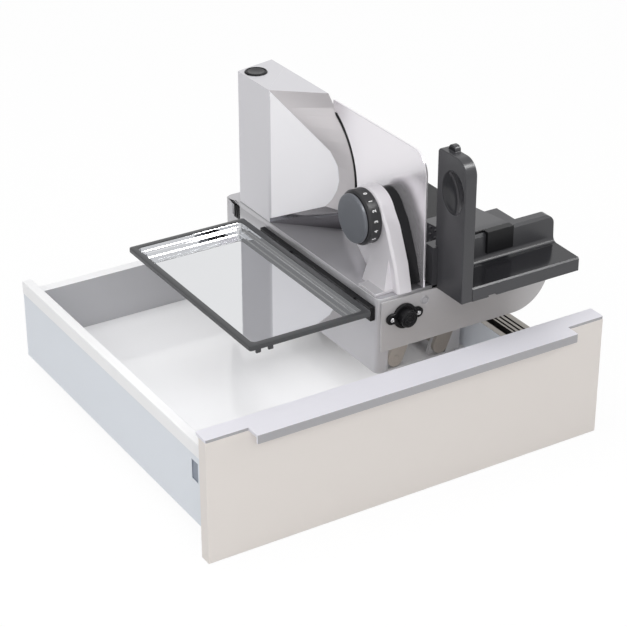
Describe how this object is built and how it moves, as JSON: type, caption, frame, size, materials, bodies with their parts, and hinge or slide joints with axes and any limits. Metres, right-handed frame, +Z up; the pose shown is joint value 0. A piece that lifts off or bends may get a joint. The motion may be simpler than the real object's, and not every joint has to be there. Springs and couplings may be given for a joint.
{
  "type": "built-in food slicer on a kitchen drawer",
  "caption": "Kitchen drawer whose swing arms carry an electric food slicer with round blade, stop plate and dial, sliding carriage with hand guard, and a slice tray.",
  "frame": {"origin": "bottom centre of the bounding box: middle of the drawer front's width, middle of the depth from the grip lip to the back wall, height of the front's lower edge", "axes": "+X right along the drawer front, +Y to the back of the cabinet, +Z up; the drawer opens along -Y"},
  "size_m": [0.597, 0.585, 0.431],
  "materials": {
    "front_lacquer": "satin",
    "handle_aluminium": "satin",
    "drawer_metal": "satin",
    "drawer_board": "gloss",
    "runner_steel": "satin",
    "bracket_plastic": "matte",
    "mount_steel": "satin",
    "arm_steel": "satin",
    "shaft_steel": "polished",
    "stop_rubber": "matte",
    "base_silver": "satin",
    "plate_silver": "satin",
    "tower_silver": "satin",
    "guard_silver": "satin",
    "anthracite": "satin",
    "black_plastic": "satin",
    "knob_plastic": "satin",
    "blade_steel": "polished",
    "stop_aluminium": "satin",
    "gear_nylon": "satin",
    "motor_steel": "satin",
    "tray_steel": "polished"
  },
  "bodies": {
    "cabinet_rails": {"cabinet_rail_left": "runner_steel", "cabinet_rail_right": "runner_steel"},
    "middle_rails": {"middle_rail_left": "runner_steel", "middle_rail_right": "runner_steel"},
    "drawer": {"drawer_rail_left": "runner_steel", "drawer_rail_right": "runner_steel", "drawer_floor": "drawer_board", "side_left": "drawer_metal", "side_right": "drawer_metal", "back_wall": "drawer_board", "drawer_front": "front_lacquer", "handle_profile": "handle_aluminium", "front_brackets": "bracket_plastic", "floor_mount": "mount_steel", "mount_screws": "shaft_steel", "lower_shafts": "shaft_steel", "arm_stop": "stop_rubber"},
    "left_arms": {"left_arm_front": "arm_steel", "left_arm_rear": "arm_steel", "left_cross_shaft": "shaft_steel"},
    "right_arms": {"right_arm_front": "arm_steel", "right_arm_rear": "arm_steel", "right_cross_shaft": "shaft_steel"},
    "slicer": {"base_shell": "base_silver", "front_plate": "plate_silver", "rear_plate": "plate_silver", "table_deck": "base_silver", "carriage_rail": "shaft_steel", "swing_brackets": "mount_steel", "release_flange": "black_plastic", "release_screws": "shaft_steel", "plug_ring": "shaft_steel", "tray_rail": "black_plastic", "motor_housing": "tower_silver", "blade_guard": "guard_silver", "slice_deflector": "base_silver", "power_bezel": "black_plastic", "power_switch": "black_plastic", "gearbox_frame": "motor_steel", "motor": "motor_steel", "knob_arm": "base_silver"},
    "blade": {"blade": "blade_steel", "blade_shaft": "shaft_steel", "drive_gear": "gear_nylon"},
    "blade_lock": {"blade_lock": "black_plastic"},
    "pinion": {"motor_pinion": "shaft_steel"},
    "release_button": {"release_button": "black_plastic"},
    "power_button": {"power_button": "black_plastic"},
    "stop": {"stop_plate": "stop_aluminium", "stop_carrier": "black_plastic"},
    "dial": {"dial_knob": "knob_plastic", "dial_spindle": "shaft_steel"},
    "carriage": {"carriage_table": "anthracite", "hand_guard": "anthracite"},
    "holder": {"food_holder": "anthracite", "holder_hook": "black_plastic"},
    "tray": {"tray_pan": "tray_steel", "tray_rim": "anthracite"}
  },
  "joints": [
    {"name": "drawer_slide", "type": "slide", "parent": "cabinet_rails", "child": "drawer", "axis": [0, -1, 0], "range_m": [0, 0.5]},
    {"name": "middle_slide", "type": "slide", "parent": "cabinet_rails", "child": "middle_rails", "axis": [0, -1, 0], "range_m": [0, 0.25]},
    {"name": "left_arm_swing", "type": "hinge", "parent": "drawer", "child": "left_arms", "pos_m": [0.1145, 0.0385, 0.064], "axis": [0, -1, 0], "range_deg": [0, 90]},
    {"name": "right_arm_swing", "type": "hinge", "parent": "drawer", "child": "right_arms", "pos_m": [0.1895, 0.0385, 0.064], "axis": [0, -1, 0], "range_deg": [0, 90]},
    {"name": "slicer_level", "type": "hinge", "parent": "left_arms", "child": "slicer", "pos_m": [0.16119, 0.0385, 0.174], "axis": [0, -1, 0], "range_deg": [-90, 0]},
    {"name": "blade_spin", "type": "hinge", "parent": "slicer", "child": "blade", "pos_m": [0.0885, 0.1035, 0.307], "axis": [1, 0, 0], "continuous": true},
    {"name": "motor_spin", "type": "hinge", "parent": "slicer", "child": "pinion", "pos_m": [0.0595, 0.1385, 0.307], "axis": [1, 0, 0], "continuous": true},
    {"name": "blade_lock_turn", "type": "hinge", "parent": "blade", "child": "blade_lock", "pos_m": [0.0935, 0.1035, 0.307], "axis": [1, 0, 0], "range_deg": [0, 90]},
    {"name": "dial_turn", "type": "hinge", "parent": "slicer", "child": "dial", "pos_m": [0.0315, -0.0905, 0.314], "axis": [1, 0, 0], "range_deg": [-99, 231]},
    {"name": "stop_plate_slide", "type": "slide", "parent": "slicer", "child": "stop", "axis": [-1, 0, 0], "range_m": [-0.006, 0.01401]},
    {"name": "power_press", "type": "slide", "parent": "slicer", "child": "power_button", "axis": [0, 0, -1], "range_m": [0, 0.003], "stiffness_N_per_m": 400, "springref_m": -0.001},
    {"name": "release_press", "type": "slide", "parent": "slicer", "child": "release_button", "axis": [0, 1, 0], "range_m": [0, 0.005], "stiffness_N_per_m": 400, "springref_m": -0.001},
    {"name": "carriage_slide", "type": "slide", "parent": "slicer", "child": "carriage", "axis": [0, 1, 0], "range_m": [0, 0.22]},
    {"name": "food_holder_slide", "type": "slide", "parent": "carriage", "child": "holder", "axis": [1, 0, 0], "range_m": [-0.012, 0.065]},
    {"name": "tray_lift", "type": "slide", "parent": "slicer", "child": "tray", "axis": [0, 0, 1], "range_m": [0, 0.06]}
  ],
  "couplings": [
    {"joint": "middle_slide", "follows": "drawer_slide", "ratio": 0.5},
    {"joint": "right_arm_swing", "follows": "left_arm_swing", "ratio": 1},
    {"joint": "slicer_level", "follows": "left_arm_swing", "ratio": -1},
    {"joint": "motor_spin", "follows": "blade_spin", "ratio": -3.6667},
    {"joint": "stop_plate_slide", "follows": "dial_turn", "m_per_rad": 0.0034725}
  ]
}
